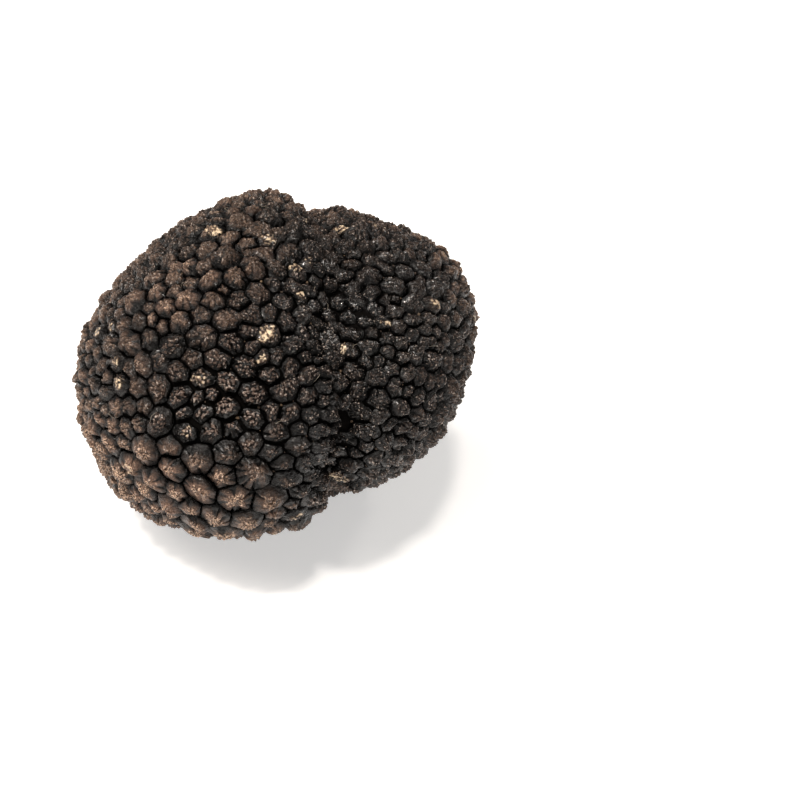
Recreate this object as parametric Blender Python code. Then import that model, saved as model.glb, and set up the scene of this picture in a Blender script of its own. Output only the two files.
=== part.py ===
"""A whole black truffle, as dug and brushed, resting on a small flat spot.

It is one solid. Its body is a lumpy ball of two lobes with a fold between them. Its rind is a close
coat of many-sided warts, which crowd together wherever there is room, so that narrow grooves part
them: small warts are low pyramids, and wide ones have a broad peaked top on steep sides. Units are
metres, +Z is up, +X runs along the two lobes, and the origin is on the table, under the middle of
the truffle's bounding box.
"""

import bmesh
import bpy
import numpy as np

# Driving dimensions
LENGTH = 0.0665  # along X, over the tips of the warts
DEPTH = 0.0625  # along Y
HEIGHT = 0.0522  # along Z, from the table to the highest wart
FLAT_CUT = 0.0014  # how far the flat spot is above the lowest point of the round form
EXTENT = np.array([LENGTH, DEPTH, HEIGHT + FLAT_CUT])

# The body: a ball of radius 1 with swells and hollows, each a direction, a height and a width in radians
SWELLS = {
    "near_lobe": ((-0.50, -0.72, 0.05), 0.060, 0.70),
    "far_lobe": ((0.81, 0.27, 0.42), 0.175, 0.50),
    "crown": ((0.12, 0.54, 0.84), 0.085, 0.36),
    "brow": ((-0.20, 0.05, 0.98), 0.050, 0.36),
    "chin": ((-0.30, -0.92, -0.25), 0.060, 0.42),
    "jowl": ((-0.70, -0.44, -0.56), 0.060, 0.32),
    "temple": ((-0.78, 0.16, 0.60), -0.060, 0.42),
    "back": ((0.05, 0.95, 0.10), 0.050, 0.50),
    "waist_hollow": ((-0.29, -0.80, 0.53), -0.045, 0.26),
    "basin": ((0.33, -0.52, 0.79), -0.115, 0.34),
    "undercut": ((0.52, -0.52, -0.68), -0.190, 0.42),
    "sill": ((0.00, -0.57, -0.82), -0.030, 0.32),
    "heel": ((0.28, 0.22, -0.93), 0.060, 0.38),
    "saddle": ((0.48, 0.42, 0.77), -0.035, 0.20),
    "knob": ((-0.15, -0.25, 0.96), 0.022, 0.13),
    "pit": ((-0.41, -0.27, 0.87), -0.038, 0.09),
    "crease_low": ((-0.47, -0.13, 0.87), -0.030, 0.07),
    "crease_middle": ((-0.50, 0.00, 0.87), -0.030, 0.07),
    "crease_high": ((-0.52, 0.14, 0.84), -0.026, 0.07),
    "foot": ((-0.05, -0.05, -1.00), -0.040, 0.60),
}
LUMP_COUNT = 26
LUMP_HEIGHT = 0.012
LUMP_WIDTH = 0.24

# The fold that parts the lobes runs round the body where a direction meets this plane
FOLD_FACING = (0.97, 0.17, -0.06)
FOLD_OFFSET = 0.232
FOLD_WIDTH = 0.112
FOLD_DEPTH = 0.168
FOLD_DEEPEST = (0.42, -0.90, -0.10)
FOLD_NOTCH = (0.24, 0.45, 0.86)

# The warts: their width on most of the body, and what is added to it near some directions
WART_WIDTH = 0.00345
WART_SIZES = {
    "chin": ((-0.24, -0.96, -0.06), 0.00170, 0.58),
    "shoulder": ((-0.39, -0.48, 0.79), 0.00080, 0.26),
    "brow": ((-0.18, 0.05, 0.98), 0.00065, 0.32),
    "basin": ((0.30, -0.52, 0.79), -0.00075, 0.36),
    "fold": ((0.42, -0.90, 0.00), -0.00080, 0.28),
    "under": ((0.00, 0.20, -0.98), 0.00050, 0.70),
}
WIDTH_SPREAD = 0.34  # how far one wart's width may differ from its neighbours'
WART_CLOSEST = 0.80  # the nearest that two wart middles come, as a share of their width
WART_RISE = 0.40  # tip above groove, as a share of the wart's own width
RISE_SPREAD = 0.25
WART_SUNK = 0.42  # the share of that rise by which the grooves lie below the body
TIP_SWAY = 0.11  # how far tips lean aside, as a share of the wart's width
WIDE = 0.00350  # a wart wider than this has a broad top with steep sides
WIDE_WALL = 0.13  # how far those sides reach in, as a share of its width
WIDE_RISE = 0.68  # the share of its rise that they take
TRIES = 30000
SEED = 11

RIND_COLOUR = (0.030, 0.021, 0.016, 1.0)
RIND_ROUGHNESS = 0.55


def unit(vectors):
    """The same directions at length 1."""
    vectors = np.asarray(vectors, float)
    return vectors / np.linalg.norm(vectors, axis=-1, keepdims=True)


def nearness(directions, middle, width):
    """A round hill on the ball: 1 at its middle, and a bell curve in the angle from there."""
    return np.exp(2.0 * (directions @ unit(middle) - 1.0) / width**2)


def lumps(directions):
    """Low uneven lumps all over, at seeded random places and of either sign."""
    random = np.random.default_rng(SEED)
    total = np.zeros(len(directions))
    for place in unit(random.normal(size=(LUMP_COUNT, 3))):
        total += random.uniform(-1, 1) * LUMP_HEIGHT * nearness(directions, place, LUMP_WIDTH)
    return total


def fold(directions):
    """The depth of the fold between the lobes: a soft wavering trench, deepest at its low front end."""
    across = directions @ unit(FOLD_FACING) - FOLD_OFFSET
    across = across + 0.035 * np.sin(7.0 * directions[:, 2] + 3.0 * directions[:, 1] - 1.6)
    trench = np.exp(-((across / FOLD_WIDTH) ** 2))
    deep = 0.34 + 0.66 * nearness(directions, FOLD_DEEPEST, 0.62)
    deep = deep + 0.42 * nearness(directions, FOLD_NOTCH, 0.35)
    return FOLD_DEPTH * trench * deep


def body(directions):
    """The body's surface without warts."""
    radius = 1.0 + lumps(directions) - fold(directions)
    for middle, height, width in SWELLS.values():
        radius = radius + height * nearness(directions, middle, width)
    return directions * radius[:, None] * EXTENT / 2.0


def outward(directions):
    """The body's outward normals, from two small steps along the surface."""
    step = 0.004
    helper = np.where(np.abs(directions[:, 2:]) < 0.8, (0.0, 0.0, 1.0), (1.0, 0.0, 0.0))
    along = unit(np.cross(helper, directions))
    across = np.cross(directions, along)
    first = body(unit(directions + step * along)) - body(unit(directions - step * along))
    second = body(unit(directions + step * across)) - body(unit(directions - step * across))
    return unit(np.cross(first, second))


def wart_width(directions):
    """How wide the warts grow in each place."""
    width = np.full(len(directions), WART_WIDTH)
    for middle, more, reach in WART_SIZES.values():
        width = width + more * nearness(directions, middle, reach)
    return width


def crowd():
    """Directions of the warts' middles: random places, each kept if the warts already there leave it room."""
    random = np.random.default_rng(SEED + 1)
    tries = unit(random.normal(size=(TRIES, 3)))
    places = body(tries)
    widths = wart_width(tries) * random.uniform(1 - WIDTH_SPREAD, 1 + WIDTH_SPREAD, TRIES)
    kept = np.zeros(TRIES, int)
    count = 0
    for i in range(TRIES):
        taken = kept[:count]
        gaps = np.linalg.norm(places[taken] - places[i], axis=1)
        if (gaps > WART_CLOSEST * (widths[taken] + widths[i]) / 2).all():
            kept[count] = i
            count += 1
    return tries[kept[:count]]


def net(directions):
    """A closed net of triangles whose corners are the warts' middles."""
    mesh = bmesh.new()
    for direction in directions:
        mesh.verts.new(direction)
    bmesh.ops.convex_hull(mesh, input=mesh.verts)
    return mesh


def eased(directions):
    """The warts' middles after each has moved half way to the mean of its neighbours."""
    mesh = net(directions)
    mesh.verts.index_update()
    ends = np.array([[vert.index for vert in edge.verts] for edge in mesh.edges])
    mesh.free()
    sums = np.zeros_like(directions)
    counts = np.zeros(len(directions))
    for here, there in ((ends[:, 0], ends[:, 1]), (ends[:, 1], ends[:, 0])):
        np.add.at(sums, here, directions[there])
        np.add.at(counts, here, 1)
    return unit(directions + sums / counts[:, None])


def cells(middles):
    """The body parted into one many-sided cell for each wart, whose corners are where three warts meet."""
    mesh = net(middles)
    between = list(mesh.edges)
    inner = list(mesh.verts)
    bmesh.ops.poke(mesh, faces=mesh.faces[:])
    bmesh.ops.rotate_edges(mesh, edges=between)
    parts = [bmesh.utils.face_join(list(vert.link_faces)) for vert in inner]
    places = body(unit([vert.co[:] for vert in mesh.verts]))
    for vert, place in zip(mesh.verts, places):
        vert.co = place
    bmesh.ops.recalc_face_normals(mesh, faces=mesh.faces)
    return mesh, parts


def sink_grooves(parts, rises):
    """Lowers each corner by a share of the rise of the warts that meet there."""
    around = {}
    for part, rise in zip(parts, rises):
        for vert in part.verts:
            around.setdefault(vert, []).append(rise)
    places = np.array([vert.co[:] for vert in around])
    depths = WART_SUNK * np.array([np.mean(rises) for rises in around.values()])
    places -= depths[:, None] * outward(unit(places / EXTENT))
    for vert, place in zip(around, places):
        vert.co = place


def raise_wart(mesh, part, width, rise, normal, lean):
    """Raises one cell to a wart, with steep sides first if it is a wide one, and a tip that leans aside."""
    left = rise
    if width > WIDE:
        side = WIDE_RISE * rise
        bmesh.ops.inset_individual(
            mesh, faces=[part], thickness=WIDE_WALL * width, depth=side, use_even_offset=True
        )
        left = rise - side
    tip = bmesh.ops.poke(mesh, faces=[part])["verts"][0]
    tip.co = np.array(tip.co) + normal * left + lean - normal * (lean @ normal)


def warty(middles):
    """The whole rind, one wart on each middle."""
    mesh, parts = cells(middles)
    random = np.random.default_rng(SEED + 2)
    widths = np.array([part.calc_area() for part in parts]) ** 0.5
    normals = np.array([part.normal[:] for part in parts])
    rises = WART_RISE * widths * random.uniform(1 - RISE_SPREAD, 1 + RISE_SPREAD, len(parts))
    leans = TIP_SWAY * widths[:, None] * random.normal(size=(len(parts), 3))
    sink_grooves(parts, rises)
    for part, width, rise, normal, lean in zip(parts, widths, rises, normals, leans):
        raise_wart(mesh, part, width, rise, normal, lean)
    return mesh


def settle(mesh):
    """Brings the truffle to its stated size, sets it over the origin, and flattens what is below the table."""
    points = np.array([vert.co[:] for vert in mesh.verts])
    low = points.min(0)
    high = points.max(0)
    points = (points - (low + high) / 2) * EXTENT / (high - low)
    points[:, 2] += EXTENT[2] / 2 - FLAT_CUT
    points[:, 2] = np.maximum(points[:, 2], 0.0)
    for vert, point in zip(mesh.verts, points):
        vert.co = point


def rind():
    """The rind's material: near black with a little brown, and a dull skin."""
    material = bpy.data.materials.new("truffle_rind")
    material.use_nodes = True
    shader = material.node_tree.nodes["Principled BSDF"]
    shader.inputs["Base Color"].default_value = RIND_COLOUR
    shader.inputs["Roughness"].default_value = RIND_ROUGHNESS
    shader.inputs["Metallic"].default_value = 0.0
    return material


def main():
    for item in list(bpy.data.objects):
        bpy.data.objects.remove(item)
    collection = bpy.data.collections.new("black_truffle")
    bpy.context.scene.collection.children.link(collection)

    mesh = warty(eased(crowd()))
    settle(mesh)
    bmesh.ops.triangulate(mesh, faces=mesh.faces[:])
    bmesh.ops.recalc_face_normals(mesh, faces=mesh.faces)
    data = bpy.data.meshes.new("truffle")
    mesh.to_mesh(data)
    mesh.free()

    truffle = bpy.data.objects.new("truffle", data)
    truffle.data.materials.append(rind())
    collection.objects.link(truffle)


if __name__ == "__main__":
    main()
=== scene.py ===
"""A whole black truffle in fine detail, on a plain pale floor.

The rind is a dark skin and the closed warts that stand in it. From its foot each wart goes up a steep
side to a rounded shoulder, and on up to the tip over granules and creases. The warts are those of the
solid part, at the same places and nearly of the same height, because the same seeded rules give them
here. Some tips are broken and pale, and crumbs of soil and fine threads lie on the rind.
Lengths are in metres, and the truffle stands on z = 0.
"""

import math

import bmesh
import bpy
import numpy as np
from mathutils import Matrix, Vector


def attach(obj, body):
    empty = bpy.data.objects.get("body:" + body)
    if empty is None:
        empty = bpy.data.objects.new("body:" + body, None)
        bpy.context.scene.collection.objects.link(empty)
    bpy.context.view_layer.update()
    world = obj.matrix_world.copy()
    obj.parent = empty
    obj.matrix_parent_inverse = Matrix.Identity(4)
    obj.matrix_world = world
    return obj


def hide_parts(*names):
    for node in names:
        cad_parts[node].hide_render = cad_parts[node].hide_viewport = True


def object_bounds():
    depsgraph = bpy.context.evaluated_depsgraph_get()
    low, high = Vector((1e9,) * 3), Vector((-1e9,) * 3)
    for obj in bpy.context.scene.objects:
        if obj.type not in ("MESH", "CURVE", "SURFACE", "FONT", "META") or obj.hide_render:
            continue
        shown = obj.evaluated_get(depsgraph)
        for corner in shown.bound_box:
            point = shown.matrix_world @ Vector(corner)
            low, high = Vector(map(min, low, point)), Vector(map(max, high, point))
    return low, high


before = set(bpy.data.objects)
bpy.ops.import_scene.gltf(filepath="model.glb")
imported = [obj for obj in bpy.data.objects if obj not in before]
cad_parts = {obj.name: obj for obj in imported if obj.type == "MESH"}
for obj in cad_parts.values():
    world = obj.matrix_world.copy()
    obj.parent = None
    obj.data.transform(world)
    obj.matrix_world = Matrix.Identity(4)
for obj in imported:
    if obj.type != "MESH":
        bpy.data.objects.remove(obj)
CAD_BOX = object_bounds()

# ---- The form, by the same rules as the solid part ----

FLAT_CUT = 0.0014  # how far the flat spot is above the lowest point of the round form
EXTENT = np.array(CAD_BOX[1] - CAD_BOX[0]) + np.array([0.0, 0.0, FLAT_CUT])

# Swells and hollows of the body: a direction, a height as a share of the radius, a width in radians
SWELLS = {
    "near_lobe": ((-0.50, -0.72, 0.05), 0.060, 0.70),
    "far_lobe": ((0.81, 0.27, 0.42), 0.175, 0.50),
    "crown": ((0.12, 0.54, 0.84), 0.085, 0.36),
    "brow": ((-0.20, 0.05, 0.98), 0.050, 0.36),
    "chin": ((-0.30, -0.92, -0.25), 0.060, 0.42),
    "jowl": ((-0.70, -0.44, -0.56), 0.060, 0.32),
    "temple": ((-0.78, 0.16, 0.60), -0.060, 0.42),
    "back": ((0.05, 0.95, 0.10), 0.050, 0.50),
    "waist_hollow": ((-0.29, -0.80, 0.53), -0.045, 0.26),
    "basin": ((0.33, -0.52, 0.79), -0.115, 0.34),
    "undercut": ((0.52, -0.52, -0.68), -0.190, 0.42),
    "sill": ((0.00, -0.57, -0.82), -0.030, 0.32),
    "heel": ((0.28, 0.22, -0.93), 0.060, 0.38),
    "saddle": ((0.48, 0.42, 0.77), -0.035, 0.20),
    "knob": ((-0.15, -0.25, 0.96), 0.022, 0.13),
    "pit": ((-0.41, -0.27, 0.87), -0.038, 0.09),
    "crease_low": ((-0.47, -0.13, 0.87), -0.030, 0.07),
    "crease_middle": ((-0.50, 0.00, 0.87), -0.030, 0.07),
    "crease_high": ((-0.52, 0.14, 0.84), -0.026, 0.07),
    "foot": ((-0.05, -0.05, -1.00), -0.040, 0.60),
}
LUMP_COUNT = 26
LUMP_HEIGHT = 0.012  # as a share of the radius
LUMP_WIDTH = 0.24  # in radians
# The fold between the lobes: the direction across it, how far from the middle it runs, its width and
# depth, all as shares of the radius, and the sine it wavers by: how far, speeds up and back, start
FOLD_FACING = (0.97, 0.17, -0.06)
FOLD_OFFSET = 0.232
FOLD_WIDTH = 0.112
FOLD_DEPTH = 0.168
FOLD_WAVER = (0.035, 7.0, 3.0, 1.6)
# The share of its depth that it has all along, and where it has more: a direction, how much, a width
FOLD_ALL_ALONG = 0.34
FOLD_DEEPER = {
    "front": ((0.42, -0.90, -0.10), 0.66, 0.62),
    "notch": ((0.24, 0.45, 0.86), 0.42, 0.35),
}
NORMAL_STEP = 0.004  # half the distance between the points that give the body's normal

# Where warts are wider or narrower: a direction, how much in metres, a width in radians
WART_WIDTH = 0.00345
WART_SIZES = {
    "chin": ((-0.24, -0.96, -0.06), 0.00170, 0.58),
    "shoulder": ((-0.39, -0.48, 0.79), 0.00080, 0.26),
    "brow": ((-0.18, 0.05, 0.98), 0.00065, 0.32),
    "basin": ((0.30, -0.52, 0.79), -0.00075, 0.36),
    "fold": ((0.42, -0.90, 0.00), -0.00080, 0.28),
    "under": ((0.00, 0.20, -0.98), 0.00050, 0.70),
}
WIDTH_SPREAD = 0.34  # how much narrower or wider one wart is than those around it
WART_CLOSEST = 0.80  # how near two warts may be, as a share of their mean width
WART_RISE = 0.40  # how high a wart is from its foot to its tip, as a share of its width
RISE_SPREAD = 0.25  # and how much lower or higher one may be
WART_SUNK = 0.42  # how much of the rise is under the body's surface
TIP_SWAY = 0.11  # how far a tip leans, as a share of the width
TRIES = 30000
SEED = 11
# Large odd numbers that mix a whole-numbered cell and a salt into a word of 32 bits
AXIS_FACTORS = (73856093, 19349663, 83492791)
SALT_FACTOR = 668265263
MIXING = ((15, 2246822519), (13, 3266489917))
WORD = 0xFFFFFFFF

# ---- The fine surface of a wart ----

# The warts are parted by width into these pieces: the name, the share of the warts that are no wider
# than its widest, and how many spokes and rings each wart has
CLASSES = (
    ("tiny_warts", 0.240, 22, 9),
    ("small_warts", 0.460, 26, 11),
    ("lesser_warts", 0.645, 32, 12),
    ("middle_warts", 0.795, 36, 14),
    ("wide_warts", 0.915, 42, 15),
    ("widest_warts", 1.000, 50, 18),
)
# The side of a wart, from its foot up to the shoulder: share of its reach, share of its rise
SIDE = ((0.80, -0.80), (0.97, -0.42), (1.0, -0.16), (0.95, 0.03))
RINGS_CLOSER = 0.92  # the power that draws the rings inside the shoulder together
TIP_ROOM = 0.6  # the room that the innermost ring leaves round the tip, in rings
TIP_UP = 0.76  # how high the tip is, as a share of the rise
TIGHT_UP = 0.18  # how much higher the shoulder is where warts stand close
CORNERS_SHARP = 24.0  # the power of the mean over a cell's sides: high keeps its corners

GAP = 0.00010  # half the groove between two warts
MOIST_GAP = 0.00007  # and how much more in the moist hollows
GAP_SPREAD = (0.30, 1.70)  # how much narrower or wider one groove is than another
GAP_POWER = 1.5  # above 1, narrow grooves are the more common ones
NARROWEST = 0.4  # the least share of a side's distance that is left inside the groove
ROWS = 1.10  # how much wider level grooves are than upright ones, where warts stand in rows
ROWS_FROM = 0.35  # how level a groove is, from 0 to 1, where its width stays as it is
# The share of neighbours that have grown together anywhere, and how many more where it is wrinkled
JOINED = (0.05, 0.34)
JOINED_GAP = -0.07  # how far two such warts reach into each other, as a share of their distance
JOINED_UP = 0.20  # how much higher they are where they meet, as a share of the rise
MOIST_APART = 0.6  # how many fewer have grown together in the moist hollows

TILT = 0.11  # how steeply the tops slope to one side
CONE = 1.0  # the least power that a top falls by, for a straight cone
DOME = 1.8  # the greatest, for a dome
BLUNT = 0.35  # how far out the tip is rounded, as a share of the reach
UNEVEN = (0.80, 1.15)  # how much lower or higher a wart stands than the solid's
# How much less dome, rounding, lobes and lumps a wart with cut faces has
CUT_DOME, CUT_BLUNT, CUT_LOBES, CUT_LUMPS = 0.85, 0.65, 0.30, 0.50
CUT_BARE = 0.34  # how much higher up its granules start, as a share of the rise
SWAY_SIZE = 0.0011  # the size of the hills that move points sideways
SWAY = (0.00015, 0.00016)  # how far they do anywhere, and how much more where it is wrinkled

LOBES = (3, 7)  # a wart has at least this many lobes, and fewer than that
LOBED = 0.30  # how much lower the parting of two lobes is than their middles, as a share of the rise
LOBED_SPREAD = (0.2, 1.0)  # the least and the greatest share of it that a wart has
LOBES_BENT = (0.35, 0.20)  # how unevenly the lobes share the circle, by two sines
LOBES_POWER = 0.6  # below 1, a lobe is broad and its parting narrow
LOBES_LEVEL = 0.75  # the share of a lobe that is under the wart's plain form

CREASES = 0.075  # the share of spokes with a crease
CREASE_DEPTH = 0.00120
CREASE_DEEP = (0.35, 1.0)  # the least and the greatest share of it that a crease has
CREASE_START = (0.10, 0.60)  # where a crease starts, as a share of the reach
CREASE_RUN = 0.30  # and how much further out it is at its full depth
GRANULE = 0.00056  # how wide the granules on a wart's top are
GRANULE_GROWS = 0.25  # how much of that goes with the wart's width
GRANULE_HEIGHT = 0.00050
GRANULE_SHARES = (0.85, 0.75)  # how much of it they have anywhere, and how much more where it is moist
GRANULE_SLEEK = 0.6  # and how much less where it is sleek
GRANULE_LEVEL = 0.35  # the share of a granule that is under the wart's plain form
GRANULES_FROM = 0.40  # how high up they are whole, as a share of the rise
USUAL_WIDTH = 0.0030  # the width of a wart whose granules and creases have the sizes stated here
WRINKLE = (0.0042, 0.00080)  # size and height of the wrinkles where it is crumpled
WRINKLE_DRAWN = (1.0, 0.7, 1.6)  # how much closer they are along x, y and z
PARTING_SHADE, VALLEY_SHADE = 2.5, 0.75  # how much painted shade partings and valleys get, beside a crease
# Size and height of the finer lumps
LUMPS = ((0.00140, 0.00020), (0.00080, 0.00012), (0.00040, 0.00008))

CHIPPED = 0.03  # the share of warts whose tip is broken off, besides those below
CHIP_SIZES = (0.3, 1.0)  # the least and the most that those have lost
CHIP_DEPTH = 0.13  # how much of the rise a broken tip has lost at 1
CHIP_SLOPE = 0.16  # how steeply the break slopes
CHIP_ROUGH = 0.15  # how much of the relief is left on the break
CHIP_EDGE = 0.00006  # how much has to be lost for the break to be pale
PITTED = 0.25  # the share of warts with a small hollow in the tip
PIT_DEPTH = (0.10, 0.30)  # its least and greatest depth, as a share of the rise
PIT_WIDTH = 0.20

SKIN_DEPTH = 0.46  # how deep the skin lies under a wart, as a share of its rise
SKIN_LOWEST = 0.0006  # how far the skin stays above the floor
LOOSE_LOWEST = 0.0001  # and how far crumbs and threads do
MAP_REACH = 0.46  # how far a wart's map reaches from the middle of its square
MAP_FOOT = 0.48  # and where its foot's point is

CRUMBS = 300
CRUMB_SIZES = (0.00010, 0.00024)  # the least radius, and how much more the greatest has
CRUMB_UNEVEN = 0.5
CRUMB_FLAT = (0.6, 1.3)  # how much shorter or longer one is along x, y and z
CRUMB_UP = (0.15, 0.75)  # how high it lies in the groove, from its bottom to its rim
THREADS = 26
THREAD_LENGTH = (0.05, 0.16)  # as a share of the truffle's radius
THREAD_BENDS = (0.35, 0.15)  # how far a thread goes sideways, in one bow and in three
THREAD_HIGH = (0.0010, 0.0017)  # how high its middle is over the body
THREAD_SUNK = 0.0003  # how deep its ends are in it
THREAD_THICK = 0.000020  # its greatest radius

# Warts with a broken pale tip, and how much is broken off
BROKEN = (
    ((-0.21, 0.23, 0.95), 0.5),
    ((-0.34, 0.01, 0.94), 0.5),
    ((0.19, -0.16, 0.97), 0.5),
    ((0.19, -0.39, 0.90), 0.3),
    ((0.07, -0.62, 0.78), 0.7),
    ((0.00, -0.72, 0.70), 1.0),
    ((0.42, -0.62, 0.67), 0.3),
    ((0.62, -0.42, 0.66), 0.4),
    ((-0.71, -0.60, 0.36), 1.0),
    ((-0.73, -0.53, 0.43), 0.6),
    ((-0.33, -0.90, 0.28), 0.7),
    ((-0.65, -0.76, -0.08), 0.6),
    ((-0.36, -0.73, -0.58), 0.5),
    ((0.36, 0.16, 0.92), 1.1),
    ((0.41, 0.18, 0.89), 0.7),
)

# Each place below is a direction, how much, and a width in radians.
# Where the warts stand close, with high shoulders
TIGHT = {
    "chin": ((-0.25, -0.96, -0.10), 1.0, 0.60),
    "waist": ((-0.40, -0.80, 0.44), 0.8, 0.36),
    "shoulder": ((-0.48, -0.45, 0.75), 0.8, 0.32),
    "brow": ((-0.20, 0.00, 0.98), 0.7, 0.34),
    "saddle": ((0.25, 0.00, 0.97), 0.5, 0.30),
    "cheek": ((-0.85, -0.25, 0.45), 0.8, 0.45),
}
# Where the warts stand in level rows
IN_ROWS = {
    "waist": ((-0.30, -0.88, 0.35), 1.0, 0.45),
    "jowl": ((-0.75, -0.62, 0.10), 0.7, 0.40),
}
# Where they are cut like stones, with flat faces
CUT = {
    "chin": ((-0.25, -0.96, -0.10), 1.3, 0.60),
    "shoulder": ((-0.48, -0.45, 0.75), 0.7, 0.26),
    "cheek": ((-0.85, -0.30, 0.40), 0.6, 0.42),
    "brow": ((-0.15, 0.10, 0.98), 0.45, 0.34),
}

# Where handling has rubbed the rind brown
RUBBED = {
    "chin": ((-0.30, -0.93, -0.22), 1.15, 0.44),
    "jowl": ((-0.80, -0.55, -0.20), 0.55, 0.40),
    "shoulder": ((-0.45, -0.42, 0.79), 0.30, 0.28),
    "saddle": ((0.30, 0.05, 0.95), -0.15, 0.25),
    "crown": ((0.05, 0.55, 0.83), 0.05, 0.35),
    "brow": ((-0.15, 0.00, 0.99), 0.40, 0.40),
    "cheek": ((-0.98, 0.00, 0.20), 0.36, 0.45),
    "far_lobe": ((0.90, 0.30, 0.35), 0.55, 0.36),
    "back": ((0.10, 0.98, 0.10), 0.45, 0.60),
    "under": ((-0.10, 0.10, -0.99), 0.60, 0.50),
}
# Where the rind is crumpled, and more of its warts have grown together; painted shade darkens the rind
# there
WRINKLED = {
    "basin": ((0.40, -0.48, 0.78), 1.0, 0.42),
    "fold": ((0.42, -0.88, 0.20), 1.0, 0.35),
    "saddle": ((0.20, 0.05, 0.98), 0.7, 0.25),
    "brow": ((-0.25, 0.05, 0.97), 0.6, 0.30),
}
# Where the rind is moist and dark, with wider grooves and painted shade between its granules
MOIST = {
    "waist": ((-0.25, -0.86, 0.42), 0.9, 0.26),
    "basin": ((0.35, -0.55, 0.76), 0.3, 0.36),
    "fold": ((0.42, -0.90, -0.10), 0.5, 0.40),
}
# Where the warts are smoother, blacker and have a sheen
SLEEK = {
    "temple": ((-0.72, -0.15, 0.62), 0.3, 0.34),
    "basin": ((0.40, -0.40, 0.82), 0.8, 0.36),
    "far_lobe": ((0.80, -0.05, 0.60), 0.7, 0.42),
    "fold": ((0.45, -0.85, 0.10), 0.6, 0.34),
}


def unit(vectors):
    """The same directions at length 1."""
    vectors = np.asarray(vectors, float)
    return vectors / np.linalg.norm(vectors, axis=-1, keepdims=True)


def nearness(directions, middle, width):
    """A round hill on the ball: 1 at its middle, and a bell curve in the angle from there."""
    return np.exp(2.0 * (directions @ unit(middle) - 1.0) / width**2)


def lumps(directions):
    """Low uneven lumps all over, at seeded random places and of either sign."""
    random = np.random.default_rng(SEED)
    total = np.zeros(len(directions))
    for place in unit(random.normal(size=(LUMP_COUNT, 3))):
        total += random.uniform(-1, 1) * LUMP_HEIGHT * nearness(directions, place, LUMP_WIDTH)
    return total


def fold(directions):
    """The depth of the fold between the lobes: a soft wavering trench, deepest at its low front end.

    depth = exp(-(distance across / width)^2) (share all along + the deeper places), by its full depth
    """
    across = directions @ unit(FOLD_FACING) - FOLD_OFFSET
    far, up, back, start = FOLD_WAVER
    across = across + far * np.sin(up * directions[:, 2] + back * directions[:, 1] - start)
    trench = np.exp(-((across / FOLD_WIDTH) ** 2))
    deep = FOLD_ALL_ALONG
    for middle, more, width in FOLD_DEEPER.values():
        deep = deep + more * nearness(directions, middle, width)
    return FOLD_DEPTH * trench * deep


def body(directions):
    """The body's surface without warts.

    point = direction (1 + lumps - fold + the sum of the swells) (half the extent along x, y and z)
    """
    radius = 1.0 + lumps(directions) - fold(directions)
    for middle, height, width in SWELLS.values():
        radius = radius + height * nearness(directions, middle, width)
    return directions * radius[:, None] * EXTENT / 2.0


def outward(directions):
    """The body's outward normals, from two small steps along the surface."""
    along, across = (NORMAL_STEP * steps for steps in tangents(directions))
    first = body(unit(directions + along)) - body(unit(directions - along))
    second = body(unit(directions + across)) - body(unit(directions - across))
    return unit(np.cross(first, second))


def wart_width(directions):
    """How wide the warts grow in each place."""
    width = np.full(len(directions), WART_WIDTH)
    for middle, more, reach in WART_SIZES.values():
        width = width + more * nearness(directions, middle, reach)
    return width


def crowd():
    """Directions of the warts' middles: random places, each kept if the warts there leave it room."""
    random = np.random.default_rng(SEED + 1)
    tries = unit(random.normal(size=(TRIES, 3)))
    places = body(tries)
    widths = wart_width(tries) * random.uniform(1 - WIDTH_SPREAD, 1 + WIDTH_SPREAD, TRIES)
    kept = np.zeros(TRIES, int)
    count = 0
    for i in range(TRIES):
        taken = kept[:count]
        gaps = np.linalg.norm(places[taken] - places[i], axis=1)
        if (gaps > WART_CLOSEST * (widths[taken] + widths[i]) / 2).all():
            kept[count] = i
            count += 1
    return tries[kept[:count]]


def net(directions):
    """A closed net of triangles whose corners are the warts' middles."""
    mesh = bmesh.new()
    for direction in directions:
        mesh.verts.new(direction)
    bmesh.ops.convex_hull(mesh, input=mesh.verts)
    return mesh


def eased(directions):
    """The warts' middles after each has moved half way to the mean of its neighbours."""
    mesh = net(directions)
    mesh.verts.index_update()
    ends = np.array([[vert.index for vert in edge.verts] for edge in mesh.edges])
    mesh.free()
    sums = np.zeros_like(directions)
    counts = np.zeros(len(directions))
    for here, there in ((ends[:, 0], ends[:, 1]), (ends[:, 1], ends[:, 0])):
        np.add.at(sums, here, directions[there])
        np.add.at(counts, here, 1)
    return unit(directions + sums / counts[:, None])


def cells(middles):
    """The body parted into a many-sided cell for each wart, with a corner where three warts meet."""
    mesh = net(middles)
    between = list(mesh.edges)
    inner = list(mesh.verts)
    bmesh.ops.poke(mesh, faces=mesh.faces[:])
    bmesh.ops.rotate_edges(mesh, edges=between)
    parts = [bmesh.utils.face_join(list(vert.link_faces)) for vert in inner]
    places = body(unit([vert.co[:] for vert in mesh.verts]))
    for vert, place in zip(mesh.verts, places):
        vert.co = place
    bmesh.ops.recalc_face_normals(mesh, faces=mesh.faces)
    return mesh, parts


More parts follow.
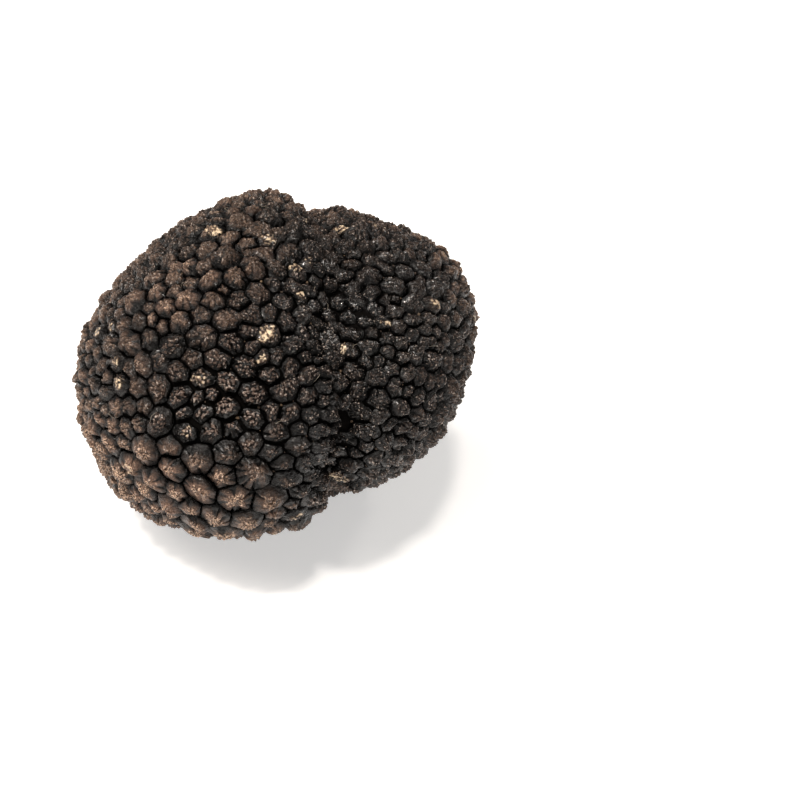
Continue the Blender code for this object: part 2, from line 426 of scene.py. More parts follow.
class Warts:
    """All the warts as arrays: each one's middle, normal, rise and outline on its own flat."""

    def __init__(self):
        mesh, parts = cells(eased(crowd()))
        mesh.verts.index_update()
        count = len(parts)
        random = np.random.default_rng(SEED + 2)
        self.width = np.array([part.calc_area() for part in parts]) ** 0.5
        self.normal = np.array([part.normal[:] for part in parts])
        self.rise = WART_RISE * self.width * random.uniform(1 - RISE_SPREAD, 1 + RISE_SPREAD, count)
        lean = TIP_SWAY * self.width[:, None] * random.normal(size=(count, 3))
        self.lean = lean - self.normal * (lean * self.normal).sum(1, keepdims=True)
        self.chip = (random.uniform(0, 1, count) < CHIPPED) * random.uniform(*CHIP_SIZES, count)

        rings = [[vert.index for vert in part.verts] for part in parts]
        self.side_wart = np.repeat(np.arange(count), [len(ring) for ring in rings])
        start = np.concatenate(rings)
        end = np.concatenate([ring[1:] + ring[:1] for ring in rings])
        corner = np.array([vert.co[:] for vert in mesh.verts])
        mesh.free()
        self.corner, self.start, self.end = corner, start, end

        length = np.linalg.norm(corner[end] - corner[start], axis=1)
        middle = np.zeros((count, 3))
        np.add.at(middle, self.side_wart, length[:, None] * (corner[start] + corner[end]) / 2)
        self.middle = middle / np.bincount(self.side_wart, length)[:, None]
        self.first, self.second = tangents(self.normal)
        from_x, from_y = self.flat(corner[start], self.side_wart)
        to_x, to_y = self.flat(corner[end], self.side_wart)
        turn = np.sign(from_x * to_y - from_y * to_x)
        run = np.hypot(to_x - from_x, to_y - from_y)
        self.side_gap = np.abs(from_x * to_y - from_y * to_x) / run
        self.side_angle = np.arctan2(-(to_x - from_x) * turn, (to_y - from_y) * turn)

        edge = unit(corner[end] - corner[start])
        facing = unit((corner[start] + corner[end]) / EXTENT)
        pair = np.stack([np.minimum(start, end), np.maximum(start, end), 0 * start], -1)
        chance = 0.5 + 0.5 * hashed(pair, 31)
        gap = GAP + MOIST_GAP * over(MOIST, facing)
        gap = gap * (GAP_SPREAD[0] + (GAP_SPREAD[1] - GAP_SPREAD[0]) * chance**GAP_POWER)
        level = unit(np.cross((0.0, 0.0, 1.0), facing))
        in_rows = ROWS * over(IN_ROWS, facing)
        gap = gap * (1 + in_rows * ((edge * level).sum(1) ** 2 - ROWS_FROM))
        apart = np.minimum(over(CUT, facing) + over(MOIST, facing) * MOIST_APART, 1)
        together = (JOINED[0] + JOINED[1] * over(WRINKLED, facing)) * (1 - apart)
        self.side_joined = 0.5 + 0.5 * hashed(pair, 33) < together
        gap = np.where(self.side_joined, JOINED_GAP * self.side_gap, gap)
        self.side_gap = np.maximum(self.side_gap - gap, NARROWEST * self.side_gap)

        around = unit(self.middle / EXTENT)
        for place, size in BROKEN:
            self.chip[np.argmax(around @ unit(place))] = size

        meeting = np.bincount(start, minlength=len(corner))
        sunk = np.bincount(start, self.rise[self.side_wart], minlength=len(corner)) / meeting
        depth = SKIN_DEPTH * sunk[:, None]
        self.low_corner = corner - depth * outward(unit(corner / EXTENT))

        tips = self.middle + self.normal * (1 - WART_SUNK) * self.rise[:, None]
        every = np.concatenate([tips, self.low_corner])
        self.low = every.min(0)
        self.high = every.max(0)

    def flat(self, points, wart):
        """Where points lie on their warts' flats."""
        away = points - self.middle[wart]
        return (away * self.first[wart]).sum(-1), (away * self.second[wart]).sum(-1)

    def reach(self, picked, angles):
        """How far the picked warts reach at these angles, to a many-sided outline with eased corners.

        1 / reach = (sum over the sides of max(0, cos(angle - side's angle) / side's distance)^p)^(1/p)
        It also gives the share of joined sides at each angle, with half that power as the weight.
        """
        row = np.full(len(self.rise), -1)
        row[picked] = np.arange(len(picked))
        sides = np.flatnonzero(row[self.side_wart] >= 0)
        owner = row[self.side_wart[sides]]
        facing = np.cos(angles - self.side_angle[sides, None]) / self.side_gap[sides, None]
        facing = np.maximum(facing, 0.0)
        weight = facing ** (CORNERS_SHARP / 2)
        total, joined, weights = np.zeros((3, len(picked), len(angles)))
        np.add.at(total, owner, facing**CORNERS_SHARP)
        np.add.at(joined, owner, weight * self.side_joined[sides, None])
        np.add.at(weights, owner, weight)
        return total ** (-1 / CORNERS_SHARP), joined / weights

    def settled(self, points):
        """Points brought to the part's stated size and set over the origin."""
        points = (points - (self.low + self.high) / 2) * EXTENT / (self.high - self.low)
        return points + np.array([0.0, 0.0, EXTENT[2] / 2 - FLAT_CUT])


def hashed(cells_at, salt):
    """A fixed random number from -1 to 1 for each whole-numbered cell, from its bits well mixed."""
    mixed = np.bitwise_xor.reduce(cells_at * np.array(AXIS_FACTORS), -1)
    mixed = (mixed ^ salt * SALT_FACTOR) & WORD
    for shift, factor in MIXING:
        mixed = ((mixed ^ (mixed >> shift)) * factor) & WORD
    return (mixed ^ (mixed >> 16)) / (WORD >> 1) - 1.0


def soft_noise(points, size, salt=0):
    """Smooth random hills of about this size: random values on a lattice, eased between its corners."""
    scaled = points / size
    cell = np.floor(scaled).astype(np.int64)
    part = scaled - cell
    part = part * part * (3 - 2 * part)
    total = 0.0
    for dx in (0, 1):
        for dy in (0, 1):
            for dz in (0, 1):
                step = np.array([dx, dy, dz])
                weight = np.where(step, part, 1 - part).prod(-1)
                total = total + weight * hashed(cell + step, salt)
    return total


def smooth(value, low, high):
    """0 below low, 1 above high, and an S-curve between."""
    part = np.clip((value - low) / (high - low), 0.0, 1.0)
    return part * part * (3 - 2 * part)


def over(places, directions, most=1.0):
    """The sum of round hills, each a direction, a height and a width, kept from 0 to this much."""
    hills = (high * nearness(directions, middle, width) for middle, high, width in places.values())
    return np.clip(sum(hills), 0, most)


def turns(count):
    """Angles evenly round a circle."""
    return np.linspace(0, 2 * math.pi, count, endpoint=False)


def tangents(normals):
    """Two directions along the surface for each normal."""
    helper = np.where(np.abs(normals[:, 2:]) < 0.8, (0.0, 0.0, 1.0), (1.0, 0.0, 0.0))
    first = unit(np.cross(helper, normals))
    return first, np.cross(normals, first)


def granules(places):
    """Round grains side by side, one in each square: 1 at a grain's middle, and 0 in the gaps.

    height = 1 - 3 (distance)^2, from the nearest of one random point in each square
    """
    square = np.floor(places).astype(np.int64)
    nearest = np.full(places.shape[:-1], 9.0)
    for dx in (-1, 0, 1):
        for dy in (-1, 0, 1):
            other = square + np.array([dx, dy])
            key = np.stack([other[..., 0], other[..., 1], other[..., 0] - other[..., 1]], -1)
            spot = other + 0.5 + 0.40 * np.stack([hashed(key, 21), hashed(key, 22)], -1)
            nearest = np.minimum(nearest, ((places - spot) ** 2).sum(-1))
    return np.maximum(1 - 3.0 * nearest, 0.0)


def relief(warts, picked, spokes, rings):
    """Points over the picked warts, on a grid of spokes by rings round each, and its traits as arrays.

    A point's share of the reach and its height follow SIDE up to the shoulder. From there inwards
    height = tip - (tip - shoulder) (share / shoulder's share)^power
    with the share rounded near the tip. Lobes, creases along some spokes, granules, lumps, wrinkles
    and a pit or a broken tip are added. Two warts that have grown together are higher where they meet.
    """
    count = len(picked)
    random = np.random.default_rng(SEED + 5 + spokes)
    angles = turns(spokes)
    directions = unit(warts.middle[picked] / EXTENT)
    moist, wrinkled, sleek, close, cut = (
        over(places, directions)[:, None, None] for places in (MOIST, WRINKLED, SLEEK, TIGHT, CUT)
    )
    rise = warts.rise[picked][:, None, None] * random.uniform(*UNEVEN, (count, 1, 1))
    reach, joined = (values[:, None, :] for values in warts.reach(picked, angles))

    inner = rings - len(SIDE)
    side_share, side_up = np.array(SIDE).T
    tight = TIGHT_UP * close
    shoulder = side_share[-1]
    shoulder_up = side_up[-1] + tight
    inward = shoulder * (1 - np.arange(1, inner + 1) / (inner + TIP_ROOM)) ** RINGS_CLOSER
    share = np.concatenate([side_share, inward])[:, None]
    power = CONE + (DOME - CONE) * random.uniform(0, 1, (count, 1, 1)) * (1 - CUT_DOME * cut)
    blunt = BLUNT * (1 - CUT_BLUNT * cut)
    out = (np.hypot(share / shoulder, blunt) - blunt) / (np.hypot(1.0, blunt) - blunt)
    top = TIP_UP - (TIP_UP - shoulder_up) * out**power
    on_side = np.arange(rings)[:, None] < len(SIDE)
    wall = np.concatenate([side_up, np.zeros(inner)])[:, None]
    raised = wall + tight * smooth(wall, -0.8, -0.2)
    up = np.where(on_side, raised, top) + np.zeros((count, rings, spokes))

    lobes = random.integers(*LOBES, (count, 1, 1))
    turn = random.uniform(0, 2 * math.pi, (3, count, 1, 1))
    bent = LOBES_BENT[0] * np.sin(angles + turn[0]) + LOBES_BENT[1] * np.sin(2 * angles + turn[1])
    lobe = np.abs(np.sin(lobes * (angles + bent) / 2 + turn[2])) ** LOBES_POWER - LOBES_LEVEL
    lobed = random.uniform(*LOBED_SPREAD, (count, 1, 1)) * LOBED * (1 - CUT_LOBES * cut)
    up = up + lobed * lobe * smooth(share, 0.1, 0.7)[None] * smooth(up, -0.4, 0.1)
    up = up + JOINED_UP * joined * smooth(share, 0.2, 0.9)[None]

    middle, first, second, normal, lean = (
        values[picked][:, None, None]
        for values in (warts.middle, warts.first, warts.second, warts.normal, warts.lean)
    )
    share = share + np.zeros((count, rings, spokes))
    steps = np.stack([share * reach * np.cos(angles), share * reach * np.sin(angles)], -1)
    flat = middle + steps[..., :1] * first + steps[..., 1:] * second
    sideways = np.stack([soft_noise(flat, SWAY_SIZE, salt) for salt in (1, 2)], -1)
    sway = SWAY[0] + SWAY[1] * wrinkled[..., None]
    steps = steps + sway * sideways * smooth(share, 0.1, 0.6)[..., None]
    flat = middle + steps[..., :1] * first + steps[..., 1:] * second
    ground = body(unit(flat / EXTENT).reshape(-1, 3)).reshape(flat.shape)
    ridge = 0.5 - 1.6 * np.abs(soft_noise(ground * np.array(WRINKLE_DRAWN), WRINKLE[0], 9))
    valley = wrinkled * smooth(-ridge, -0.15, 0.55)

    creased = random.uniform(0, 1, (count, 1, spokes)) < CREASES
    creased &= ~np.roll(creased, 1, 2)
    strength = creased * random.uniform(*CREASE_DEEP, creased.shape) ** 1.5
    start = random.uniform(*CREASE_START, creased.shape)
    crease = strength * smooth(share, start, start + CREASE_RUN) * (1 - smooth(-up, 0.3, 0.8))
    grown = warts.width[picked][:, None, None] / USUAL_WIDTH
    height = up * rise - CREASE_DEPTH * crease * np.minimum(grown, 1.3)

    tilt = TILT * random.normal(size=(2, count, 1, 1))
    height = height + (tilt[0] * steps[..., 0] + tilt[1] * steps[..., 1]) * smooth(up, -0.3, 0.3)

    spread = random.uniform(-50, 50, (count, 1, 1, 2))
    grain_size = GRANULE * (1 - GRANULE_GROWS + GRANULE_GROWS * grown)
    grain = granules(steps / grain_size[..., None] + spread)
    bare = CUT_BARE * cut
    on_top = smooth(up, bare, GRANULES_FROM + bare)
    coarse = GRANULE_SHARES[0] + GRANULE_SHARES[1] * moist
    coarse = coarse * np.clip(grown, 0.5, 1.1) * (1 - GRANULE_SLEEK * sleek)
    height = height + GRANULE_HEIGHT * (grain - GRANULE_LEVEL) * on_top * coarse
    for size, high in LUMPS:
        noise = soft_noise(ground, size, 5)
        height = height + (1 - CUT_LUMPS * cut) * high * noise * smooth(up, -0.4, 0.2)

    pitted = (random.uniform(0, 1, (count, 1, 1)) < PITTED) * random.uniform(*PIT_DEPTH, (count, 1, 1))
    broken = warts.chip[picked][:, None, None]
    height = height - np.exp(-((share / PIT_WIDTH) ** 2)) * pitted * (broken == 0) * rise
    slope = random.normal(size=(2, count, 1, 1)) * CHIP_SLOPE
    level = (TIP_UP - CHIP_DEPTH * broken) * rise
    level = level + slope[0] * steps[..., 0] + slope[1] * steps[..., 1]
    chip = np.where(broken > 0, smooth(height - level, 0.0, CHIP_EDGE), 0.0)
    height = np.where(broken > 0, np.minimum(height, level + CHIP_ROUGH * (height - level)), height)

    height = height + ridge * WRINKLE[1] * wrinkled * smooth(up, -0.8, -0.3)
    swayed = lean * (smooth(up, -0.2, TIP_UP) * (1 - share))[..., None]
    points = ground + normal * height[..., None] + swayed
    parting = lobed * np.minimum(lobe, 0.0) / -LOBES_LEVEL
    # The crease trait also carries painted shade for the lobe partings and the wrinkles' valleys
    crease = crease + PARTING_SHADE * parting + VALLEY_SHADE * valley
    return points, {"up": up, "crease": crease, "grain": grain * on_top, "chip": chip}, steps


def closed_faces(rings, spokes, count, first_end=-2, last_end=-1, start=0):
    """The faces of count closed shapes: squares between the rings, and a fan at each end.

    The first and the last ring close to the points that first_end and last_end name, counted from the
    end of each shape's points. The start is the corner that each square begins at.
    """
    each = rings * spokes + 2
    grid = np.arange(rings * spokes).reshape(rings, spokes)
    after = np.roll(grid, -1, 1)
    corners = [grid[:-1], after[:-1], after[1:], grid[1:]]
    squares = np.stack(corners[start:] + corners[:start], -1).reshape(-1, 4)
    none = np.full(spokes, -1)
    first = np.stack([after[0], grid[0], np.full(spokes, each + first_end), none], -1)
    last = np.stack([grid[-1], after[-1], np.full(spokes, each + last_end), none], -1)
    one = np.concatenate([squares, first, last])
    faces = one[None] + each * np.arange(count)[:, None, None]
    faces[:, one[:, 3] < 0, 3] = -1
    return faces.reshape(-1, 4)


def warts_piece(warts, name, picked, spokes, rings, material):
    """One piece of closed warts: rings of squares from the foot to the tip, and a fan at each end."""
    points, traits, steps = relief(warts, picked, spokes, rings)
    count = len(picked)

    def whole(values, foot):
        """The grid, its tip, which is the mean of its innermost ring, and its foot, as one list."""
        grid = values.reshape((count, -1) + values.shape[3:])
        return np.concatenate([grid, values[:, -1].mean(1)[:, None], foot[:, None]], 1)

    columns = math.ceil(count**0.5)
    place = np.stack([np.arange(count) % columns, np.arange(count) // columns], -1) + 0.5
    on_flat = MAP_REACH * steps / np.abs(steps).max((1, 2, 3))[:, None, None, None]
    on_flat[:, 0] *= 0.999
    uv = whole(place[:, None, None] + on_flat, place + MAP_FOOT) / columns

    random = np.random.default_rng(SEED + 4 + spokes)
    attributes = {key: whole(values, values[:, 0].mean(1)).ravel() for key, values in traits.items()}
    attributes["tone"] = np.repeat(random.uniform(0, 1, count), rings * spokes + 2)
    points = whole(points, points[:, 0].mean(1)).reshape(-1, 3)
    directions = unit(points / EXTENT)
    attributes["rub"] = over(RUBBED, directions, 1.2)
    for key, places in (("moist", MOIST), ("wrinkled", WRINKLED), ("sleek", SLEEK)):
        attributes[key] = over(places, directions)
    points = warts.settled(points)
    points[:, 2] = np.maximum(points[:, 2], 0.0)
    faces = closed_faces(rings, spokes, count, first_end=-1, last_end=-2)
    add_piece(mesh_of(name, points, faces, uv.reshape(-1, 2), attributes), material)


def skin_piece(warts, material):
    """The skin that the warts stand in: a net of triangles from each cell's middle to its sides."""
    count = len(warts.rise)
    middles = warts.middle - warts.normal * (SKIN_DEPTH * warts.rise)[:, None]
    points = warts.settled(np.concatenate([middles, warts.low_corner]))
    points[:, 2] = np.maximum(points[:, 2], SKIN_LOWEST)
    none = np.full(len(warts.start), -1)
    faces = np.stack([warts.side_wart, count + warts.start, count + warts.end, none], -1)
    a, b, c = np.moveaxis(points[faces[:, :3]], 1, 0)
    if (np.cross(b - a, c - a) * a).sum() < 0:
        faces[:, [1, 2]] = faces[:, [2, 1]]
    around = unit(points - points.mean(0))
    longitude = np.arctan2(around[:, 1], around[:, 0]) / (2 * math.pi) + 0.5
    latitude = np.arcsin(around[:, 2]) / math.pi + 0.5
    mesh = mesh_of("skin", points, faces, np.stack([longitude, latitude], -1))
    add_piece(mesh, material)


def placed(name, data):
    """A new object with this data in the scene."""
    made = bpy.data.objects.new(name, data)
    bpy.context.scene.collection.objects.link(made)
    return made


def mesh_of(name, points, faces, uv=None, attributes=()):
    """A mesh from arrays. A face has four corners, or three and -1."""
    sizes = np.where(faces[:, 3] < 0, 3, 4)
    loops = faces[faces >= 0]
    mesh = bpy.data.meshes.new(name)
    mesh.vertices.add(len(points))
    mesh.vertices.foreach_set("co", points.astype(np.float32).ravel())
    mesh.loops.add(len(loops))
    mesh.loops.foreach_set("vertex_index", loops.astype(np.int32))
    mesh.polygons.add(len(sizes))
    starts = np.concatenate([[0], np.cumsum(sizes)[:-1]])
    mesh.polygons.foreach_set("loop_start", starts.astype(np.int32))
    mesh.update(calc_edges=True)
    mesh.shade_smooth()
    if uv is not None:
        layer = mesh.uv_layers.new(name="OFBake")
        layer.uv.foreach_set("vector", uv[loops].astype(np.float32).ravel())
    for title, values in dict(attributes).items():
        layer = mesh.attributes.new(title, "FLOAT", "POINT")
        layer.data.foreach_set("value", values.astype(np.float32).ravel())
    mesh.validate()
    return mesh


def add_piece(mesh, material):
    """A finished piece of the truffle, which rides with it and stands for its solid."""
    piece = placed(mesh.name, mesh)
    mesh.materials.append(material)
    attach(piece, "root")
    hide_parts("truffle")


def truffle():
    """The skin and the warts in it, parted by width into pieces."""
    warts = Warts()
    material = rind_finish()
    skin_piece(warts, skin_shade_finish())
    order = np.argsort(warts.width)
    done = 0
    for name, share, spokes, rings in CLASSES:
        upto = round(share * len(order))
        warts_piece(warts, name, order[done:upto], spokes, rings, material)
        done = upto
    crumbs(warts, soil_finish())
    threads(warts, thread_finish())


def crumbs(warts, material):
    """Crumbs of soil caught where three warts meet: small uneven balls.

    point = place + size (1 + 0.5 noise) (its direction from the ball's middle), flattened unevenly
    """
    random = np.random.default_rng(SEED + 6)
    around, rows = 7, 4
    turn = turns(around)
    fall = np.linspace(math.pi, 0, rows + 2)[1:-1, None]
    across, level = np.sin(fall), np.cos(fall)
    ball = np.stack([across * np.cos(turn), across * np.sin(turn), level + 0 * turn], -1)
    ball = np.concatenate([ball.reshape(-1, 3), [(0, 0, -1), (0, 0, 1)]])
    corner = random.choice(len(warts.corner), CRUMBS, replace=False)
    size = CRUMB_SIZES[0] + CRUMB_SIZES[1] * random.uniform(0, 1, CRUMBS) ** 3
    share = random.uniform(*CRUMB_UP, CRUMBS)[:, None]
    place = warts.low_corner[corner] * (1 - share) + warts.corner[corner] * share
    noise = soft_noise(ball[None] * 1.7 + random.uniform(0, 90, (CRUMBS, 1, 3)), 1.0, 7)
    flat = random.uniform(*CRUMB_FLAT, (CRUMBS, 1, 3))
    radius = size[:, None, None] * (1 + CRUMB_UNEVEN * noise)[..., None]
    points = warts.settled(place[:, None] + radius * flat * ball[None]).reshape(-1, 3)
    points[:, 2] = np.maximum(points[:, 2], LOOSE_LOWEST)
    tone = np.repeat(random.uniform(0, 1, CRUMBS), len(ball))
    faces = closed_faces(rows, around, CRUMBS, start=3)
    add_piece(mesh_of("soil_crumbs", points, faces, None, {"tone": tone}), material)


def threads(warts, material):
    """Fine pale threads that come out of a groove, go over a few warts and end in another groove.

    path(t) = ground(t) + normal(t) (high sin(pi t)^0.7 - depth), and the ground is under a line that
    bends sideways by a sine; point = path(t) + thickness(t) (cos(a) side + sin(a) up)
    """
    random = np.random.default_rng(SEED + 7)
    steps, around = 16, 5
    t = np.linspace(0, 1, steps)
    bow = np.sin(math.pi * t)
    start = unit(random.normal(size=(THREADS, 3)) + np.array([0.0, -0.3, 0.3]))
    first, second = tangents(start)
    heading = random.uniform(0, 2 * math.pi, THREADS)[:, None]
    along = first * np.cos(heading) + second * np.sin(heading)
    beside = np.cross(start, along)
    length = random.uniform(*THREAD_LENGTH, THREADS)[:, None, None]
    bend, twist = (random.uniform(-most, most, THREADS)[:, None, None] for most in THREAD_BENDS)
    sideways = bend * bow[None, :, None] + twist * np.sin(3 * math.pi * t)[None, :, None]
    way = start[:, None] + length * (t[None, :, None] * along[:, None] + sideways * beside[:, None])
    way = unit(way).reshape(-1, 3)
    normal = outward(way).reshape(THREADS, steps, 3)
    ground = body(way).reshape(THREADS, steps, 3)
    high = random.uniform(*THREAD_HIGH, THREADS)[:, None]
    lift = high * bow**0.7 - THREAD_SUNK
    path = warts.settled(ground + normal * lift[..., None])
    direction = unit(np.gradient(path, axis=1))
    side = unit(np.cross(direction, normal))
    up = np.cross(side, direction)
    turn = turns(around)
    thick = THREAD_THICK * (0.35 + 0.65 * bow**0.5)[None, :, None, None]
    ring = np.cos(turn)[:, None] * side[:, :, None] + np.sin(turn)[:, None] * up[:, :, None]
    points = (path[:, :, None] + thick * ring).reshape(THREADS, -1, 3)
    points = np.concatenate([points, path[:, :1], path[:, -1:]], 1).reshape(-1, 3)
    points[:, 2] = np.maximum(points[:, 2], LOOSE_LOWEST)
    mesh = mesh_of("fine_threads", points, closed_faces(steps, around, THREADS))
    add_piece(mesh, material)


# ---- Finishes ----


class Value:
    """A number that varies over a surface. Sums and products of it add Math nodes."""

    def __init__(self, finish, socket):
        self.finish = finish
        self.socket = socket

    def math(self, operation, first, second):
        return self.finish.node("ShaderNodeMath", {"operation": operation}, {0: first, 1: second})

    def __add__(self, other):
        return self.math("ADD", self, other)

    def __sub__(self, other):
        return self.math("SUBTRACT", self, other)

    def __rsub__(self, other):
        return self.math("SUBTRACT", other, self)

    def __mul__(self, other):
        return self.math("MULTIPLY", self, other)

    __radd__ = __add__
    __rmul__ = __mul__


class Finish:
    """A material in the making."""

    def __init__(self, name):
        self.material = bpy.data.materials.new(name)
        self.material.use_nodes = True
        self.tree = self.material.node_tree
        self.shader = self.tree.nodes["Principled BSDF"]

    def node(self, kind, settings=None, sockets=None, output=0):
        """Adds a node of this kind, with its settings, then its sockets' values or links."""
        made = self.tree.nodes.new(kind)
        for name, setting in (settings or {}).items():
            setattr(made, name, setting)
        for name, value in (sockets or {}).items():
            self.join(made.inputs[name], value)
        return Value(self, made.outputs[output])

    def join(self, socket, value):
        """Sets a socket to a value, or links it."""
        if isinstance(value, Value):
            self.tree.links.new(value.socket, socket)
        else:
            socket.default_value = value

    def attribute(self, name):
        """A trait that the mesh holds at each point."""
        return self.node("ShaderNodeAttribute", {"attribute_name": name}, output="Fac")

    def places(self):
        """Where each point is on the object."""
        return self.node("ShaderNodeTexCoord", output="Object")

    def noise(self, place, size, detail=2.0, rough=0.5):
        """Smooth noise from 0 to 1 with hills of about this size."""
        sockets = {"Vector": place, "Scale": 1.0 / size, "Detail": detail, "Roughness": rough}
        return self.node("ShaderNodeTexNoise", {}, sockets)

    def step(self, value, low, high):
        """0 below low and 1 above high, with an S-curve between."""
        sockets = {"Value": value, "From Min": low, "From Max": high}
        return self.node("ShaderNodeMapRange", {"interpolation_type": "SMOOTHSTEP"}, sockets)

    def blend(self, share, first, second):
        """A colour between two."""
        sockets = {0: share, 6: first, 7: second}
        return self.node("ShaderNodeMix", {"data_type": "RGBA"}, sockets, output=2)

    def bump(self, height, distance, under=None):
        """A normal that shows this height, of this many metres, over the bump below it."""
        sockets = {"Height": height, "Distance": distance}
        if under is not None:
            sockets["Normal"] = under
        return self.node("ShaderNodeBump", {}, sockets, output="Normal")

    def set(self, **values):
        """Sets the shader's own sockets; an underscore stands for a space."""
        for name, value in values.items():
            self.join(self.shader.inputs[name.replace("_", " ").title()], value)


def colour(red, green, blue):
    """A full colour, as a socket takes it."""
    return (red, green, blue, 1.0)


# Sizes of the rind's noises: blotches, wet patches, flecks, specks of dust and painted glint, and the
# finest grain
BLOTCH, WET, FLECK, SPECK, GRAIN = 0.0035, 0.0010, 0.00065, 0.00036, 0.00024

# Colours of the rind, each from its darker to its lighter shade
BLACK = (colour(0.0032, 0.0022, 0.0018), colour(0.0210, 0.0135, 0.0100))
# Granule tops: paler granules and, in part, a painted highlight
KNOB_AND_HIGHLIGHT = (colour(0.060, 0.039, 0.029), colour(0.155, 0.105, 0.084))
SLEEK_KNOB = colour(0.017, 0.0155, 0.015)
TAN = (colour(0.070, 0.040, 0.029), colour(0.275, 0.165, 0.116))
# Crumbled tips: pale crumbs and, in part, painted highlights
CRUMBLED_AND_HIGHLIGHT = (colour(0.050, 0.030, 0.021), colour(0.90, 0.62, 0.44))
# Painted shade for the grooves, creases and the warts' lower sides
GROOVE_SHADE = colour(0.0008, 0.0006, 0.0005)
PALE = (colour(0.22, 0.12, 0.060), colour(0.78, 0.63, 0.44))
# Pale specks: dust, and in part painted glints
DUST_AND_GLINT = colour(0.50, 0.41, 0.35)


def rind_finish():
    """Black to brown rind: brown where rubbed, black and moist in the hollows, pale at broken tips,
    with painted shade in the grooves and painted highlights on granules and tips.
    """
    finish = Finish("truffle_rind")
    place = finish.places()
    traits = ("up", "tone", "chip", "crease", "grain", "rub", "moist", "wrinkled", "sleek")
    up, tone, chip, crease, granule, rub, moist, wrinkled, sleek = map(finish.attribute, traits)
    blotch = finish.noise(place, BLOTCH, 3.0)
    grain = finish.noise(place, GRAIN, 3.0, 0.65)
    fleck = finish.noise(place, FLECK, 2.0, 0.6)
    wet = finish.step(finish.noise(place, WET), 0.49, 0.61)

    # Black warts with paler granules, their tops partly a painted highlight, worn to tan from the tip
    # down where they are rubbed
    worn = rub * 0.8 + tone * 0.30 + blotch * 0.75 - 0.50 - moist * 0.7 - sleek * 0.15
    worn = finish.step(worn, 0.0, 0.80)
    knob = finish.step(granule, 0.30, 0.85) * (1.0 - sleek * 0.45)
    brown = worn * finish.step(up * 0.8 + fleck * 0.5 + granule * 0.30, 0.10, 0.85)
    black = finish.blend(tone * (1.0 - moist * 0.6), *BLACK)
    knob_and_highlight = finish.blend(sleek * 0.8, finish.blend(moist, *KNOB_AND_HIGHLIGHT), SLEEK_KNOB)
    made = finish.blend(knob, black, knob_and_highlight)
    made = finish.blend(brown, made, finish.blend(finish.step(grain, 0.32, 0.72), *TAN))

    # Crumbled tips, pale, with painted highlights at their grains
    tip_and_highlight = up * 0.7 + fleck * 1.3 + granule * 0.35 - tone * 0.35
    tip_and_highlight = worn * finish.step(tip_and_highlight, 0.78, 1.12)
    made = finish.blend(tip_and_highlight, made, finish.blend(finish.step(grain, 0.46, 0.64), *CRUMBLED_AND_HIGHLIGHT))

    # Painted shade: near-black in the grooves, down the warts' sides, in creases and lobe partings,
    # between the granules where it is moist, and over most of the crumpled places
    low = finish.step(up * 0.6 + granule * 0.4 - crease * 0.9 - moist * 0.06, -0.04, 0.42)
    gap = moist * (1.0 - finish.step(granule, 0.0, 0.30))
    low = low * (1.0 - gap * 0.55) * (1.0 - wrinkled * 0.72)
    made = finish.blend(low, GROOVE_SHADE, made)

    # Pale breaks, and pale specks on the granules: dust, and painted glints
    bare = chip * finish.step(fleck, 0.42, 0.60)
    made = finish.blend(bare, made, finish.blend(finish.step(fleck, 0.42, 0.68), *PALE))
    speck = finish.noise(place, SPECK, 1.0) + moist * 0.050
    dust_and_glint = finish.step(speck, 0.62, 0.69) * finish.step(granule, 0.15, 0.6)
    dust_and_glint = dust_and_glint * finish.step(blotch + rub * 0.15 + moist * 0.20, 0.30, 0.60)
    made = finish.blend(dust_and_glint * (0.85 - sleek * 0.55), made, DUST_AND_GLINT)

    calm = 1.0 - moist * 0.65
    normal = finish.bump(fleck * calm, 0.00055)
    normal = finish.bump(grain * calm, 0.00018, normal)
    rough = 0.19 + brown * 0.28 + grain * 0.14 + bare * 0.30 - moist * 0.13 - sleek * 0.08 - wet * 0.06
    coat = wet * (0.22 + sleek * 0.43 + moist * 0.28) + sleek * 0.06
    finish.set(base_color=made, roughness=rough, normal=normal, coat_weight=coat, coat_roughness=0.07)
    finish.shader.inputs["Specular IOR Level"].default_value = 0.25
    return finish.material


def soil_finish():
    """Dry soil, from grey brown to ochre."""
    finish = Finish("dry_soil")
    grain = finish.noise(finish.places(), 0.0002)
    ochre = finish.step(finish.attribute("tone"), 0.45, 1.0)
    made = finish.blend(ochre, colour(0.025, 0.017, 0.012), colour(0.26, 0.17, 0.09))
    made = finish.blend(grain, made, colour(0.10, 0.07, 0.05))
    finish.set(base_color=made, normal=finish.bump(grain, 0.0001), roughness=0.85)
    return finish.material


def thread_finish():
    """Pale root and mould threads."""
    finish = Finish("pale_thread")
    cloud = finish.noise(finish.places(), 0.002, 1.0)
    made = finish.blend(cloud, colour(0.20, 0.16, 0.115), colour(0.46, 0.40, 0.32))
    finish.set(base_color=made, roughness=0.7)
    return finish.material


def skin_shade_finish():
    """The skin at the bottom of the grooves, painted near-black for the shade that lies there."""
    finish = Finish("truffle_skin_shade")
    grain = finish.noise(finish.places(), 0.0005)
    made = finish.blend(grain, colour(0.0006, 0.0005, 0.0004), colour(0.003, 0.0024, 0.002))
    finish.set(base_color=made, roughness=0.9)
    finish.shader.inputs["Specular IOR Level"].default_value = 0.05
    return finish.material


def floor_finish():
    """Matt white board with a faint unevenness."""
    finish = Finish("white_board")
    cloud = finish.noise(finish.places(), 0.25)
    made = finish.blend(cloud, colour(0.86, 0.86, 0.85), colour(0.90, 0.90, 0.90))
    finish.set(base_color=made, roughness=0.6)
    finish.set(emission_color=colour(1.0, 1.0, 1.0), emission_strength=0.46)
    return finish.material


# ---- The studio ----

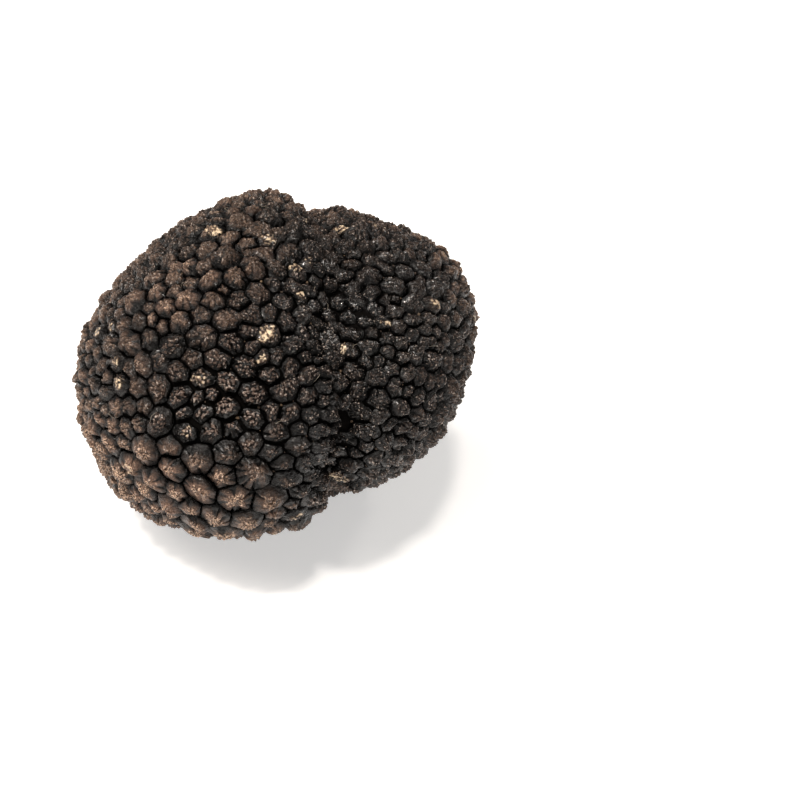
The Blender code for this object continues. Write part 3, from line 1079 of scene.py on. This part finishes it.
LOOK_DOWN = math.radians(35)
LENS = 85.0
SENSOR = 36.0
VIEW_WIDTH = 0.133  # how much of the world the picture's width covers, at the truffle
CAMERA_SHIFT = (0.154, -0.047)  # of the picture's width: the truffle lies left of the middle

FLOOR_HALF = 8.0
FLOOR_DROP = 0.00002  # how far the floor is under the flat spot
ROOM_COLOUR = colour(1.0, 0.96, 0.92)
ROOM_LIGHT = 0.14
LAMP_COLOUR = (1.0, 0.935, 0.870)
LAMP_TARGET = (0.0, 0.0, 0.02)
# Each lamp's place, size and power
LAMPS = {
    "key": ((-0.40, -0.06, 0.78), 0.66, 6.3),
    "front": ((0.00, -0.85, 0.50), 0.40, 1.7),
    "left_glint": ((-0.28, -0.12, 0.60), 0.08, 2.0),
    "top_glint": ((0.06, -0.08, 0.66), 0.08, 1.8),
    "edge": ((0.45, 0.30, 0.45), 0.10, 0.6),
}


def camera():
    """The camera, level from side to side and looking down on the front."""
    data = bpy.data.cameras.new("camera")
    data.lens = LENS
    data.sensor_width = SENSOR
    data.shift_x, data.shift_y = CAMERA_SHIFT
    data.clip_start = 0.01
    made = placed("camera", data)
    distance = VIEW_WIDTH * LENS / SENSOR
    centre = (CAD_BOX[0] + CAD_BOX[1]) / 2
    made.location = centre
    made.location.y -= distance * math.cos(LOOK_DOWN)
    made.location.z += distance * math.sin(LOOK_DOWN)
    made.rotation_euler = (math.pi / 2 - LOOK_DOWN, 0.0, 0.0)
    bpy.context.scene.camera = made


def lamp(name, place, size, power):
    """A square soft light that faces the truffle."""
    data = bpy.data.lights.new(name, "AREA")
    data.size = size
    data.energy = power
    data.color = LAMP_COLOUR
    made = placed(name, data)
    made.location = place
    made.rotation_euler = (Vector(LAMP_TARGET) - Vector(place)).to_track_quat("-Z", "Y").to_euler()


def studio():
    """A white floor under soft light from the upper left, with a pale room around."""
    mesh = bpy.data.meshes.new("floor")
    corners = [(x * FLOOR_HALF, y * FLOOR_HALF, 0) for x, y in ((-1, -1), (1, -1), (1, 1), (-1, 1))]
    mesh.from_pydata(corners, [], [(0, 1, 2, 3)])
    mesh.materials.append(floor_finish())
    floor = placed("floor", mesh)
    floor.location.z = -FLOOR_DROP
    world = bpy.data.worlds.new("room")
    world.use_nodes = True
    background = world.node_tree.nodes["Background"]
    background.inputs["Color"].default_value = ROOM_COLOUR
    background.inputs["Strength"].default_value = ROOM_LIGHT
    bpy.context.scene.world = world
    bpy.context.scene.view_settings.view_transform = "Standard"
    for name, (place, size, power) in LAMPS.items():
        lamp(name, place, size, power)


camera()
studio()
truffle()
